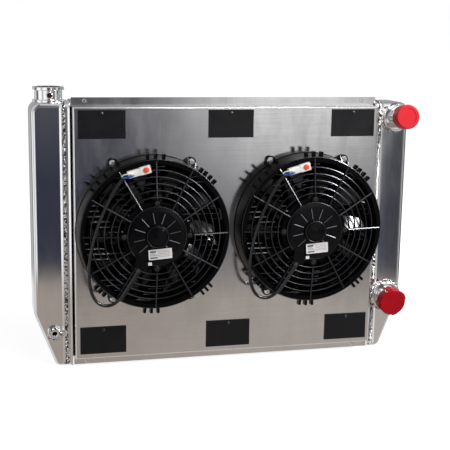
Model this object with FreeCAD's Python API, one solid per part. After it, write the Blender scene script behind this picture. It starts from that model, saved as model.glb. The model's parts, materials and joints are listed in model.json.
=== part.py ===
"""Crossflow dual-pass aluminium radiator with a shroud, relief flaps and two electric puller fans.

Millimetres. X runs across the radiator, Z is up and the fans face -Y. The design frame has X = 0 at the
middle, Y = 0 at the middle of the core's depth and Z = 0 at the tanks' feet. Each part is moved along Y
by SHIFT_Y when it is saved, which puts the origin at the bottom centre of the whole part.
"""

import FreeCAD, Part
import math
import os

# ---- Driving dimensions -------------------------------------------------------------------------------
OVERALL_WIDTH = 698.5
FLANGE_TOP = 482.6
TANK_HEIGHT = 473.4
TANK_DEPTH = 76.2
TANK_WALL = 2.0
HEADER_INNER = 284.0
HEADER_OUTER = 288.6
TANK_CORNER_RADIUS = 17.0
TANK_EDGE_RADIUS = 9.0
TANK_FOOT_WIDTH = 22.4
TANK_CHAMFER_TOP = 98.0

TUBES_PER_ROW = 45
TUBE_HEIGHT = 2.0
TUBE_WIDTH = 25.4
TUBE_WALL = 0.4
TUBE_ROW_Y = 15.9
TUBE_STANDOUT = 2.0
FIN_HEIGHT = 7.8
CORE_BOTTOM = 16.9
CHANNEL_SHEET = 1.6
CHANNEL_HALF_DEPTH = 31.8
REAR_LEG_TOP = 476.0

SHROUD_SHEET = 1.5
SHROUD_HALF_WIDTH = 279.0
SHROUD_BOTTOM = 18.5
SHROUD_TOP = 468.0
SHROUD_FACE_Y = -61.0
SHROUD_FOOT = 0.6
SHROUD_BEND = 3.0
SHROUD_SCREW_X = 256.0
SHROUD_SCREW_Z = (6.6, 476.6)
SHROUD_SCREW_RADIUS = 1.9

FLAP_WIDTH = 82.2
FLAP_HEIGHT = 49.2
FLAP_SHEET = 2.0
FLAP_CLAMPED = 11.0
FLAP_X = (-229.6, 0.0, 229.6)
FLAP_BOTTOM_Z = (413.5, 28.0)
FLAP_RIVET_DROP = 6.0
RIVET_RADIUS = 1.6
WINDOW_WIDTH = 66.0
WINDOW_HEIGHT = 30.0

FAN_X = (-142.5, 142.5)
FAN_Z = 250.6
FAN_OPENING_RADIUS = 127.0
FAN_SCREW_RADIUS = 139.7
FAN_SCREW_ANGLES = (30, 150, 210, 330)
FAN_BOLT_RADIUS = 2.4

UPPER_NECK = {"x": 322.0, "z": 444.0, "radius": 19.05, "tilt": 7.0, "face": 61.0, "skirt": 20.5}
LOWER_NECK = {"x": 318.0, "z": 103.0, "radius": 22.225, "tilt": -7.0, "face": 42.0, "skirt": 18.0}
NECK_WALL = 2.0
NECK_COLLAR_END = 7.0
NECK_COLLAR_EXTRA = 5.6
CAP_GAP = 0.3
CAP_SHEET = 2.4
SEAT_STEP = 0.5

FILLER_X = -314.8
FILLER_FLANGE_RADIUS = 27.95
FILLER_BODY_RADIUS = 24.15
FILLER_MOUTH_RADIUS = 21.0
FILLER_THROAT_RADIUS = 15.0
FILLER_TOP = 499.3
FILLER_SEAT = 480.0
OVERFLOW_Z = 485.6
OVERFLOW_BOSS_RADIUS = 6.2
OVERFLOW_FACE = 30.5

DRAIN_X = -314.0
DRAIN_Z = 63.0
DRAIN_RADIUS = 5.3
DRAIN_BOSS_RADIUS = 13.0
DRAIN_BOSS_LENGTH = 8.0

LEAD_DIAMETER = 5.8
CONNECTOR_LENGTH = 40.0
CONNECTOR_TILT = 15.3

WELD_WIDTH = 7.8
WELD_HEIGHT = 1.8
WELD_GAP = 0.3

MOTOR_FRONT_DEPTH = 66.0
FRONT_Y = SHROUD_FACE_Y - MOTOR_FRONT_DEPTH
BACK_Y = TANK_DEPTH / 2 + WELD_HEIGHT
SHIFT_Y = -(FRONT_Y + BACK_Y) / 2

FIN_PITCH = TUBE_HEIGHT + FIN_HEIGHT
CORE_TOP = CORE_BOTTOM + TUBES_PER_ROW * FIN_PITCH + FIN_HEIGHT
CORE_HALF_DEPTH = TUBE_ROW_Y + TUBE_WIDTH / 2
CHANNEL_TOP_Z = CORE_TOP + CHANNEL_SHEET
CHANNEL_BOTTOM_Z = CORE_BOTTOM - CHANNEL_SHEET


# ---- Helpers ------------------------------------------------------------------------------------------
def vec(x, y, z):
    return FreeCAD.Vector(x, y, z)


def box(x0, x1, y0, y1, z0, z1):
    return Part.makeBox(x1 - x0, y1 - y0, z1 - z0, vec(x0, y0, z0))


def rod(radius, start, end):
    """A solid cylinder between two points."""
    line = end - start
    return Part.makeCylinder(radius, line.Length, start, line)


def corner_arc(before, corner, after, reach):
    """The arc tangent to both runs at a corner, touching them at the given distance from it."""
    back = (before - corner).normalize()
    ahead = (after - corner).normalize()
    half = (math.pi - back.getAngle(ahead)) / 2
    radius = reach / math.tan(half)
    middle_way = (back + ahead).normalize()
    middle = corner + middle_way * (math.hypot(radius, reach) - radius)
    return corner + back * reach, middle, corner + ahead * reach, radius


def rounded_outline(points, radii):
    """A closed wire through the points, with each corner rounded to its own radius."""
    count = len(points)
    edges = []
    ends = []
    for i in range(count):
        before, corner, after = points[i - 1], points[i], points[(i + 1) % count]
        if radii[i] == 0:
            ends.append((corner, corner))
            continue
        half = (math.pi - (before - corner).getAngle(after - corner)) / 2
        first, middle, last, _ = corner_arc(before, corner, after, radii[i] * math.tan(half))
        edges.append(Part.Arc(first, middle, last).toShape())
        ends.append((first, last))
    for i in range(count):
        start = ends[i][1]
        end = ends[(i + 1) % count][0]
        if start.distanceToPoint(end) > 1e-6:
            edges.append(Part.LineSegment(start, end).toShape())
    return Part.Wire(Part.__sortEdges__(edges))


def prism(points, radii, along):
    """A solid with the rounded outline as its section, extruded along a vector."""
    return Part.Face(rounded_outline(points, radii)).extrude(along)


def turned(profile):
    """A solid turned about the Y axis from (radius, depth) points; depth runs towards -Y."""
    wire = Part.makePolygon([vec(r, -d, 0) for r, d in profile + profile[:1]])
    return Part.Face(wire).revolve(vec(0, 0, 0), vec(0, 1, 0), 360)


def disc(radius, near, far, x=0.0, z=0.0):
    """A cylinder along Y between two depths, centred at (x, z)."""
    return rod(radius, vec(x, -near, z), vec(x, -far, z))


def clock(angle, radius):
    """The (x, z) point at a radius and at an angle turned clockwise from straight up."""
    return radius * math.sin(math.radians(angle)), radius * math.cos(math.radians(angle))


def clocked(shape, angle):
    """A copy turned clockwise, as seen from the front, about the Y axis."""
    copy = shape.copy()
    copy.rotate(vec(0, 0, 0), vec(0, 1, 0), angle)
    return copy


def joined(shapes):
    return shapes[0].multiFuse(shapes[1:]).removeSplitter()


def without(shape, tools):
    return shape.cut(tools)


def mirrored(shape):
    return shape.mirror(vec(0, 0, 0), vec(1, 0, 0))


def save(name, shape):
    moved = shape.copy()
    moved.translate(vec(0, SHIFT_Y, 0))
    if not moved.isValid():
        print("invalid", name)
    moved.exportStep("parts/" + name + ".step")


def save_group(name, shapes):
    save(name, Part.makeCompound(shapes))


# ---- Tanks, headers and core --------------------------------------------------------------------------
def tank_block(inset):
    """The right tank's outer form, or with an inset its inner hollow, open towards the header."""
    outer = OVERALL_WIDTH / 2 - inset
    top = TANK_HEIGHT - inset
    foot = HEADER_OUTER + TANK_FOOT_WIDTH
    slope = math.atan2(TANK_CHAMFER_TOP, OVERALL_WIDTH / 2 - foot)
    shift = inset / math.sin(slope)
    rise = math.tan(slope)
    foot_x = foot - shift + inset / rise
    chamfer_z = (outer - foot + shift) * rise
    front = -(TANK_DEPTH / 2 - inset)
    corners = [(HEADER_OUTER, inset), (foot_x, inset), (outer, chamfer_z), (outer, top), (HEADER_OUTER, top)]
    radii = [0, 12 - inset, 30, TANK_CORNER_RADIUS - inset, 0]
    block = prism([vec(x, front, z) for x, z in corners], radii, vec(0, -2 * front, 0))
    rim = []
    for edge in block.Edges:
        bounds = edge.BoundBox
        flat = bounds.YLength < 1e-6
        at_header = bounds.XMax < HEADER_OUTER + 1e-6
        if flat and not at_header:
            rim.append(edge)
    return block.makeFillet(TANK_EDGE_RADIUS - inset, rim)


def neck_axis(neck, length):
    """A point on a hose neck's axis, at a length out from the tank's front face."""
    tilt = math.radians(neck["tilt"])
    return vec(neck["x"], -TANK_DEPTH / 2 - length * math.cos(tilt), neck["z"] + length * math.sin(tilt))


def core_tube_z(index):
    return CORE_BOTTOM + FIN_HEIGHT + index * FIN_PITCH


def tube_outline(width, height, x, middle_y, bottom):
    """A flat tube's rounded section, at x."""
    y0 = middle_y - width / 2
    y1 = middle_y + width / 2
    corners = [vec(x, y0, bottom), vec(x, y1, bottom), vec(x, y1, bottom + height), vec(x, y0, bottom + height)]
    return Part.Face(rounded_outline(corners, [height / 2 - 0.01] * 4))


def make_tanks():
    right = tank_block(0).cut(tank_block(TANK_WALL))
    left = mirrored(right)
    filler_hole = rod(FILLER_THROAT_RADIUS, vec(FILLER_X, 0, TANK_HEIGHT - 20), vec(FILLER_X, 0, FLANGE_TOP))
    drain_hole = rod(7.0, vec(DRAIN_X, -TANK_DEPTH / 2 - 1, DRAIN_Z), vec(DRAIN_X, -20, DRAIN_Z))
    save("left_tank", without(left, [filler_hole, drain_hole]))
    holes = []
    for neck in (UPPER_NECK, LOWER_NECK):
        holes.append(rod(neck["radius"] - NECK_WALL, neck_axis(neck, -20), neck_axis(neck, 20)))
    save("right_tank", without(right, holes))
    middle = TANK_HEIGHT / 2
    slab = box(HEADER_OUTER, OVERALL_WIDTH, -TANK_DEPTH, TANK_DEPTH, middle, middle + TANK_WALL)
    save("right_tank_baffle", tank_block(TANK_WALL).common(slab))


def make_core():
    reach = HEADER_OUTER + TUBE_STANDOUT
    rows = {"front": -TUBE_ROW_Y, "rear": TUBE_ROW_Y}
    slots = []
    for row, middle_y in rows.items():
        outer = tube_outline(TUBE_WIDTH, TUBE_HEIGHT, -reach, middle_y, core_tube_z(0))
        inner = tube_outline(TUBE_WIDTH - 2 * TUBE_WALL, TUBE_HEIGHT - 2 * TUBE_WALL, -reach, middle_y,
                             core_tube_z(0) + TUBE_WALL)
        solid = outer.extrude(vec(2 * reach, 0, 0))
        hollow = solid.cut(inner.extrude(vec(2 * reach, 0, 0)))
        tubes = []
        for index in range(TUBES_PER_ROW):
            step = vec(0, 0, index * FIN_PITCH)
            tubes.append(hollow.translated(step))
            slots.append(solid.translated(step))
        save_group("core_tubes_" + row + "_row", tubes)
    half = TANK_DEPTH / 2
    corners = [vec(HEADER_INNER, -half, 0), vec(HEADER_INNER, half, 0), vec(HEADER_INNER, half, TANK_HEIGHT),
               vec(HEADER_INNER, -half, TANK_HEIGHT)]
    plate = prism(corners, [TANK_EDGE_RADIUS] * 4, vec(HEADER_OUTER - HEADER_INNER, 0, 0))
    right = without(plate, slots)
    save("right_header", right)
    save("left_header", mirrored(right))
    fins = []
    for index in range(TUBES_PER_ROW + 1):
        low = CORE_BOTTOM + index * FIN_PITCH
        fins.append(box(-HEADER_INNER, HEADER_INNER, -CORE_HALF_DEPTH, CORE_HALF_DEPTH, low, low + FIN_HEIGHT))
    save_group("core_fins", fins)


def rounded_frame(half_depth, top, radius, length):
    """A block along X from the header's outer face, with its four long edges rounded."""
    corners = [vec(HEADER_OUTER, -half_depth, 0), vec(HEADER_OUTER, half_depth, 0),
               vec(HEADER_OUTER, half_depth, top), vec(HEADER_OUTER, -half_depth, top)]
    return prism(corners, [radius] * 4, vec(length, 0, 0))


def make_weld_beads():
    """A plain strip over each tank seam, up the front, over the top and down the back."""
    half = TANK_DEPTH / 2
    outer = rounded_frame(half + WELD_HEIGHT, TANK_HEIGHT + WELD_HEIGHT, TANK_EDGE_RADIUS + WELD_HEIGHT, WELD_WIDTH)
    strip = outer.cut(rounded_frame(half, TANK_HEIGHT, TANK_EDGE_RADIUS, WELD_WIDTH))
    strip = strip.common(box(0, OVERALL_WIDTH, -TANK_DEPTH, TANK_DEPTH, TANK_EDGE_RADIUS + WELD_HEIGHT, FILLER_TOP))
    collar = LOWER_NECK["radius"] + NECK_COLLAR_EXTRA + WELD_GAP
    right = strip.cut(rod(collar, neck_axis(LOWER_NECK, -20), neck_axis(LOWER_NECK, 20)))
    flange = rod(FILLER_FLANGE_RADIUS + WELD_GAP, vec(FILLER_X, 0, TANK_HEIGHT - 5), vec(FILLER_X, 0, FILLER_TOP))
    left = mirrored(strip).cut(flange)
    save_group("weld_beads", left.Solids + right.Solids)


def screw_places():
    for x in (-SHROUD_SCREW_X, SHROUD_SCREW_X):
        for z in SHROUD_SCREW_Z:
            yield x, z


def make_channels():
    """U-shaped side supports, with their legs turned away from the core and cut short at the left."""
    half = CHANNEL_HALF_DEPTH
    inner = half - CHANNEL_SHEET
    x = HEADER_INNER
    left_end = box(-x, -SHROUD_HALF_WIDTH, -half, half, CHANNEL_TOP_Z, FLANGE_TOP)
    back_leg_top = box(-x, x, inner - 1, half, REAR_LEG_TOP, FLANGE_TOP)
    foot_end = box(-x, -SHROUD_HALF_WIDTH, -half, half, 0, CHANNEL_BOTTOM_Z)
    holes = [disc(SHROUD_SCREW_RADIUS, half - 10, half + 10, sx, sz) for sx, sz in screw_places()]
    top = box(-x, x, -half, half, CORE_TOP, FLANGE_TOP)
    top = top.cut(box(-x, x, -inner, inner, CHANNEL_TOP_Z, FLANGE_TOP))
    bottom = box(-x, x, -half, half, 0, CORE_BOTTOM)
    bottom = bottom.cut(box(-x, x, -inner, inner, 0, CHANNEL_BOTTOM_Z))
    save("top_channel", without(top, holes + [left_end, back_leg_top]))
    save("bottom_channel", without(bottom, holes + [foot_end]))


# ---- Shroud and relief flaps --------------------------------------------------------------------------
def flap_places():
    for z in FLAP_BOTTOM_Z:
        for x in FLAP_X:
            yield x, z


def fan_screw_places():
    for fan_x in FAN_X:
        for angle in FAN_SCREW_ANGLES:
            x, z = clock(angle, FAN_SCREW_RADIUS)
            yield fan_x + x, FAN_Z + z


def make_shroud():
    """One pressed pan with bent-out flanges above and below, two fan openings and six flap windows."""
    w = SHROUD_HALF_WIDTH
    back = -CHANNEL_HALF_DEPTH
    flange_front = back - SHROUD_SHEET
    inner_face = SHROUD_FACE_Y + SHROUD_SHEET
    outer = box(-w, w, SHROUD_FACE_Y, back, SHROUD_BOTTOM, SHROUD_TOP)
    front_edges = [e for e in outer.Edges if e.BoundBox.YMax < SHROUD_FACE_Y + 1e-6]
    outer = outer.makeFillet(SHROUD_BEND, front_edges)
    t = SHROUD_SHEET
    inner = box(-w + t, w - t, inner_face, back, SHROUD_BOTTOM + t, SHROUD_TOP - t)
    inner_edges = [e for e in inner.Edges if e.BoundBox.YMax < inner_face + 1e-6]
    inner = inner.makeFillet(SHROUD_BEND - t, inner_edges)
    top_flange = box(-w, w, flange_front, back, SHROUD_TOP - t, FLANGE_TOP)
    bottom_flange = box(-w, w, flange_front, back, SHROUD_FOOT, SHROUD_BOTTOM + t)
    pan = joined([outer.cut(inner), top_flange, bottom_flange])
    depth = -SHROUD_FACE_Y
    holes = []
    for x in FAN_X:
        holes.append(disc(FAN_OPENING_RADIUS, depth - 5, depth + 5, x, FAN_Z))
    for x, z in fan_screw_places():
        holes.append(disc(FAN_BOLT_RADIUS, depth - 5, depth + 5, x, z))
    for x, z in screw_places():
        holes.append(disc(SHROUD_SCREW_RADIUS, -back - 5, -back + 5, x, z))
    for x, z in flap_places():
        low = z + (FLAP_HEIGHT - FLAP_CLAMPED - WINDOW_HEIGHT) / 2
        holes.append(box(x - WINDOW_WIDTH / 2, x + WINDOW_WIDTH / 2, SHROUD_FACE_Y - 5, SHROUD_FACE_Y + 5,
                         low, low + WINDOW_HEIGHT))
        holes.append(disc(RIVET_RADIUS, depth - 5, depth + 5, x, z + FLAP_HEIGHT - FLAP_RIVET_DROP))
    save("fan_shroud_panel", without(pan, holes))


def make_flaps():
    """Rubber flaps: the top strip is riveted down and the rest swings out from under it."""
    face = SHROUD_FACE_Y
    strips = []
    rivets = []
    number = 0
    for x, z in flap_places():
        number += 1
        x0 = x - FLAP_WIDTH / 2
        x1 = x + FLAP_WIDTH / 2
        split = z + FLAP_HEIGHT - FLAP_CLAMPED
        save("flap_" + str(number), box(x0, x1, face - FLAP_SHEET, face, z, split))
        rivet_z = z + FLAP_HEIGHT - FLAP_RIVET_DROP
        strip = box(x0, x1, face - FLAP_SHEET, face, split, z + FLAP_HEIGHT)
        depth = -face
        strips.append(strip.cut(disc(RIVET_RADIUS, depth - 5, depth + 5, x, rivet_z)))
        front = depth + FLAP_SHEET
        head = turned([(0, 0), (3.4, 0), (3.0, 0.9), (1.6, 1.6), (0, 1.8)])
        head.translate(vec(x, -front, rivet_z))
        shank = disc(RIVET_RADIUS, depth - SHROUD_SHEET - 1.8, front, x, rivet_z)
        tail = disc(2.7, depth - SHROUD_SHEET - 1.8, depth - SHROUD_SHEET, x, rivet_z)
        rivets.append(joined([head, shank, tail]))
    save_group("flap_top_strips", strips)
    save_group("flap_rivets", rivets)


def pan_screw(head_radius, head_height, shank_radius, length):
    """A screw along Y: its head stands forward of depth 0 and its shank runs back from there."""
    profile = [(0, -length), (shank_radius, -length), (shank_radius, 0), (head_radius, 0),
               (head_radius, head_height * 0.55), (head_radius * 0.72, head_height), (0, head_height)]
    screw = turned(profile)
    slot = head_radius * 0.9
    for angle in (45, 135):
        cross = box(-slot / 2, slot / 2, -head_height - 1, -head_height * 0.45, -0.45, 0.45)
        screw = screw.cut(clocked(cross, angle))
    return screw


def make_shroud_screws():
    screws = []
    front = -CHANNEL_HALF_DEPTH - SHROUD_SHEET
    for x, z in screw_places():
        screws.append(pan_screw(3.6, 2.3, SHROUD_SCREW_RADIUS, 6.0).translated(vec(x, front, z)))
    save_group("shroud_screws", screws)


# ---- Necks, caps and bungs ----------------------------------------------------------------------------
def make_hose_neck(name, neck):
    """A thin tube with a welded collar at its foot and a slightly smaller end that the cap sits on."""
    radius = neck["radius"]
    bore = radius - NECK_WALL
    cap_start = neck["face"] - neck["skirt"]
    end = neck["face"] - CAP_SHEET - CAP_GAP
    tube = rod(radius, neck_axis(neck, -8), neck_axis(neck, cap_start))
    seat = rod(radius - SEAT_STEP, neck_axis(neck, cap_start), neck_axis(neck, end))
    collar = rod(radius + NECK_COLLAR_EXTRA, neck_axis(neck, -8), neck_axis(neck, NECK_COLLAR_END))
    rim = [e for e in collar.Edges if e.BoundBox.Center.y < neck_axis(neck, NECK_COLLAR_END - 0.5).y]
    collar = collar.makeFillet(4.0, [e for e in rim if e.BoundBox.XLength > radius])
    outside = joined([tube, seat, collar])
    inside_tank = box(0, 400, -TANK_DEPTH / 2, TANK_DEPTH, 0, 500)
    hollow = rod(bore, neck_axis(neck, -20), neck_axis(neck, 100))
    save(name, outside.cut(inside_tank).cut(hollow))


def cap_shell(neck):
    """A round shipping cap over the neck's end, 0.3 mm clear of it all round."""
    inner = neck["radius"] - SEAT_STEP + CAP_GAP
    outer = neck["radius"] + 3.2
    start = neck["face"] - neck["skirt"] + CAP_GAP
    body = rod(outer, neck_axis(neck, start), neck_axis(neck, neck["face"]))
    outer_rim = [e for e in body.Edges if e.BoundBox.YMin < neck_axis(neck, neck["face"] - 4).y]
    outer_rim = [e for e in outer_rim if e.BoundBox.YLength < 10]
    body = body.makeFillet(2.0, outer_rim)
    return body.cut(rod(inner, neck_axis(neck, start - 1), neck_axis(neck, neck["face"] - CAP_SHEET)))


def make_caps():
    upper = cap_shell(UPPER_NECK)
    face = UPPER_NECK["face"]
    recess = rod(UPPER_NECK["radius"] - 3.5, neck_axis(UPPER_NECK, face - 0.8), neck_axis(UPPER_NECK, face + 1))
    save("upper_cap", upper.cut(recess))
    lower = cap_shell(LOWER_NECK)
    face = LOWER_NECK["face"]
    start = face - LOWER_NECK["skirt"] + CAP_GAP
    pieces = [lower]
    for angle in (68, 163, 258, 343):
        reach = LOWER_NECK["radius"] + 2.4
        tab = box(-5.5, 5.5, 0, face - start - 3, reach, reach + 3.2)
        tab = tab.makeFillet(1.2, [e for e in tab.Edges if e.BoundBox.ZMin > reach + 3])
        tab.rotate(vec(0, 0, 0), vec(0, 1, 0), angle)
        tab.rotate(vec(0, 0, 0), vec(1, 0, 0), -LOWER_NECK["tilt"])
        tab.translate(neck_axis(LOWER_NECK, face - 3))
        pieces.append(tab)
    save("lower_cap", joined(pieces))


def make_filler_neck():
    """A machined pressure-cap neck with a seat inside, cam notches in its rim and an overflow port."""
    profile = [(FILLER_THROAT_RADIUS, TANK_HEIGHT), (FILLER_FLANGE_RADIUS, TANK_HEIGHT),
               (FILLER_FLANGE_RADIUS, TANK_HEIGHT + 3.2), (FILLER_BODY_RADIUS, TANK_HEIGHT + 4.4),
               (FILLER_BODY_RADIUS, FILLER_TOP - 6.2), (FILLER_FLANGE_RADIUS, FILLER_TOP - 5.2),
               (FILLER_FLANGE_RADIUS, FILLER_TOP - 0.8), (FILLER_FLANGE_RADIUS - 0.8, FILLER_TOP),
               (FILLER_MOUTH_RADIUS, FILLER_TOP), (FILLER_MOUTH_RADIUS, FILLER_SEAT),
               (FILLER_THROAT_RADIUS, FILLER_SEAT)]
    wire = Part.makePolygon([vec(FILLER_X + r, 0, z) for r, z in profile + profile[:1]])
    neck = Part.Face(wire).revolve(vec(FILLER_X, 0, 0), vec(0, 0, 1), 360)
    boss = rod(OVERFLOW_BOSS_RADIUS, vec(FILLER_X, -FILLER_MOUTH_RADIUS - 1.5, OVERFLOW_Z),
               vec(FILLER_X, -OVERFLOW_FACE, OVERFLOW_Z))
    boss = boss.makeFillet(1.6, [e for e in boss.Edges if e.BoundBox.YMax < -OVERFLOW_FACE + 1e-6])
    neck = joined([neck, boss])
    port = rod(3.4, vec(FILLER_X, -FILLER_MOUTH_RADIUS + 2, OVERFLOW_Z), vec(FILLER_X, -40, OVERFLOW_Z))
    notches = []
    for side in (-1, 1):
        middle = side * (FILLER_FLANGE_RADIUS + 3)
        notches.append(box(FILLER_X + middle - 5, FILLER_X + middle + 5, -7, 7, FILLER_TOP - 6, FILLER_TOP + 1))
    save("filler_neck", without(neck, [port] + notches))
    plug = turned([(0, 0), (3.1, 0), (3.1, 5.2), (4.0, 5.2), (4.0, 6.4), (3.4, 7.0), (0, 7.0)])
    save("overflow_plug", plug.translated(vec(FILLER_X, -25.35, OVERFLOW_Z)))


def make_drain_bung():
    face = TANK_DEPTH / 2
    boss = disc(DRAIN_BOSS_RADIUS, face, face + DRAIN_BOSS_LENGTH, DRAIN_X, DRAIN_Z)
    rim = [e for e in boss.Edges if e.BoundBox.YMax < -face - DRAIN_BOSS_LENGTH + 1e-6]
    boss = boss.makeFillet(1.2, rim)
    save("drain_bung", boss.cut(disc(DRAIN_RADIUS, face - 1, face + 20, DRAIN_X, DRAIN_Z)))


# ---- Fans, built about the Y axis with depth 0 on the shroud's face ------------------------------------
HOUSING_BORE = 128.5
HOUSING_RADIUS = 135.5
GUARD_RIM_DEPTH = 46.0
GUARD_HUB_DEPTH = 57.0
GUARD_INNER_RADIUS = 56.0
GUARD_RING_PITCH = 11.5
GUARD_RINGS = 5
RIM_RADIUS = 125.0
SPOKES = 12
CHANNEL_SPOKE = 210
CLIP_ANGLES = (-6, 0, 6, 36, 40, 44.5, 49, 134, 138, 142, 178, 183, 188, 221, 225, 229, 306.5, 313, 320)
CLIP_WIDTH = 4.4
CLIP_DEPTHS = (33.0, 44.5)
CLIP_RADII = (130.0, 141.0)
MOUNT_RING_BACK = 49.0
MOUNT_RING_FRONT = 54.0
CAP_CLEAR_RADIUS = 52.6
EAR_CLEAR_RADIUS = 64.6
CAP_RIB_START = 19
MOTOR_SCREW_CIRCLE = 57.2
MOTOR_SCREW_ANGLES = (0, 90, 180, 270)
HUB_RADIUS = 43.0
BLADE_TIP_RADIUS = 125.5
BLADES = 10
SHAFT_RADIUS = 4.0
BEARING_RADIUS = 8.0
CASE_RADIUS = 38.0


def guard_depth(radius):
    """How far the domed guard's front stands off the shroud's face at a radius."""
    slope = (GUARD_HUB_DEPTH - GUARD_RIM_DEPTH) / (RIM_RADIUS - GUARD_INNER_RADIUS)
    return GUARD_RIM_DEPTH + max(0.0, RIM_RADIUS - radius) * slope


def guard_spoke(width, sideways, stand, rise):
    """One sloping rib of the guard, along +Z: low under the motor's end cap, then domed from the rise out."""
    inner = 50.0
    outer = 129.5
    x = sideways - width / 2
    corners = [vec(x, -MOUNT_RING_FRONT, inner),
               vec(x, -MOUNT_RING_FRONT, rise),
               vec(x, -guard_depth(rise) - stand, rise),
               vec(x, -guard_depth(outer) - stand, outer),
               vec(x, -guard_depth(outer) + 6.0, outer),
               vec(x, -MOUNT_RING_BACK - 0.5, inner)]
    return prism(corners, [0] * 6, vec(width, 0, 0))


def make_fan_frame():
    """Housing ring, four lugs, domed guard of rings and spokes, and the ring that holds the motor."""
    front = GUARD_RIM_DEPTH
    pieces = [turned([(HOUSING_BORE, 0), (HOUSING_RADIUS, 0), (HOUSING_RADIUS, 3.5), (134.4, 4.6), (132.6, 41.5),
                      (131.8, front - 1.2), (130.4, front), (123.0, front), (123.0, 42.4), (HOUSING_BORE, 40.8)])]
    for step in range(1, GUARD_RINGS + 1):
        radius = GUARD_INNER_RADIUS + GUARD_RING_PITCH * step
        top = guard_depth(radius)
        pieces.append(turned([(radius - 0.9, top), (radius + 0.9, top), (radius + 0.9, top - 4.0),
                              (radius - 0.9, top - 4.0)]))
    for step in range(SPOKES):
        angle = step * 360 / SPOKES
        if angle == CHANNEL_SPOKE:
            for side in (-5.0, 5.0):
                pieces.append(clocked(guard_spoke(1.6, side, 3.0, EAR_CLEAR_RADIUS), angle))
        elif angle in MOTOR_SCREW_ANGLES:
            pieces.append(clocked(guard_spoke(3.0, 0.0, 0.6, EAR_CLEAR_RADIUS), angle))
        else:
            pieces.append(clocked(guard_spoke(3.0, 0.0, 0.6, CAP_CLEAR_RADIUS), angle))
    pieces.append(turned([(41.0, MOUNT_RING_BACK), (58.4, MOUNT_RING_BACK), (59.4, MOUNT_RING_BACK + 1),
                          (59.4, MOUNT_RING_FRONT - 1), (58.4, MOUNT_RING_FRONT), (41.0, MOUNT_RING_FRONT)]))
    for angle in MOTOR_SCREW_ANGLES:
        x, z = clock(angle, MOTOR_SCREW_CIRCLE)
        pieces.append(disc(6.4, MOUNT_RING_BACK, MOUNT_RING_FRONT, x, z))
    for angle in FAN_SCREW_ANGLES:
        x, z = clock(angle, FAN_SCREW_RADIUS)
        pieces.append(disc(8.5, 0, 5.0, x, z))
        for lean in (-3.2, 3.2):
            rib = prism([vec(-1.2, 0, 130), vec(-1.2, 0, 143), vec(-1.2, -5, 143), vec(-1.2, -26, 132.6),
                         vec(-1.2, -26, 130)], [0] * 5, vec(2.4, 0, 0))
            pieces.append(clocked(rib, angle + lean))
    near, far = CLIP_DEPTHS
    clip = box(-CLIP_WIDTH / 2, CLIP_WIDTH / 2, -far, -near, *CLIP_RADII)
    for angle in CLIP_ANGLES:
        pieces.append(clocked(clip, angle))
    frame = joined(pieces)
    holes = []
    for angle in MOTOR_SCREW_ANGLES:
        x, z = clock(angle, MOTOR_SCREW_CIRCLE)
        holes.append(disc(1.7, 40, 60, x, z))
    for angle in FAN_SCREW_ANGLES:
        x, z = clock(angle, FAN_SCREW_RADIUS)
        holes.append(disc(FAN_BOLT_RADIUS, -5, 20, x, z))
        holes.append(disc(6.6, 5.0, 30, x, z))
    holes.append(disc(HOUSING_BORE, -5, 38))
    return without(frame, holes)


def make_motor_end_cap():
    """The motor's outer end shield: stepped bearing dome, cooling ribs, four ears and the lead's exit."""
    shield = turned([(0, 61), (0, MOTOR_FRONT_DEPTH), (3, MOTOR_FRONT_DEPTH), (3.4, 64.8), (14.5, 64.4),
                     (15.5, 62.2), (18.4, 61.8), (19.5, 58.4), (44, 58), (51.6, 57.4), (52, 56.4),
                     (52, 54), (36, 54), (36, 56), (12, 56), (12, 55), (BEARING_RADIUS, 55),
                     (BEARING_RADIUS, 60), (SHAFT_RADIUS + 1.5, 60), (SHAFT_RADIUS + 1.5, 61)])
    pieces = [shield]
    for step in range(12):
        pieces.append(clocked(box(-0.9, 0.9, -59.6, -57.5, 22, 42), CAP_RIB_START + 30 * step))
    for angle in MOTOR_SCREW_ANGLES:
        x, z = clock(angle, MOTOR_SCREW_CIRCLE)
        pieces.append(disc(6.4, 54, 57.4, x, z))
        pieces.append(clocked(box(-6.4, 6.4, -57.4, -54, 48, MOTOR_SCREW_CIRCLE), angle))
    pad = box(-17, 27, -60.2, -57.5, -41, -21)
    pad.rotate(vec(5, 0, -31), vec(0, 1, 0), -4)
    pieces.append(pad)
    exit_corners = [vec(-16, -55, 46), vec(-9, -55, 64), vec(9, -55, 64), vec(16, -55, 46)]
    pieces.append(clocked(prism(exit_corners, [0, 3, 3, 0], vec(0, -7.5, 0)), CHANNEL_SPOKE))
    cap = joined(pieces)
    holes = []
    for angle in MOTOR_SCREW_ANGLES:
        x, z = clock(angle, MOTOR_SCREW_CIRCLE)
        holes.append(disc(1.7, 50, 60, x, z))
    return without(cap, holes)


def make_blade():
    """One swept blade: flat sections at growing radii, lofted, then trimmed round at the tip."""
    sections = []
    for radius, chord, pitch, sweep in ((40, 26, 38, 0), (70, 36, 31, 7), (100, 45, 25, 16), (131, 52, 20, 28)):
        lean = math.radians(pitch)
        points = []
        for along, off in ((-0.5, 0), (-0.2, 1.6), (0.5, 0.5), (0.5, -0.5), (-0.2, -0.9)):
            across = along * chord
            camber = 3.0 * (0.25 - along * along)
            side = across * math.cos(lean) - (off + camber) * math.sin(lean)
            depth = 27 + across * math.sin(lean) + (off + camber) * math.cos(lean)
            points.append(vec(side, -depth, radius))
        wire = Part.makePolygon(points + points[:1])
        wire.rotate(vec(0, 0, 0), vec(0, 1, 0), sweep)
        sections.append(wire)
    blade = Part.makeLoft(sections, True, False)
    return blade.common(disc(BLADE_TIP_RADIUS, 12.5, 38))


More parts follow.
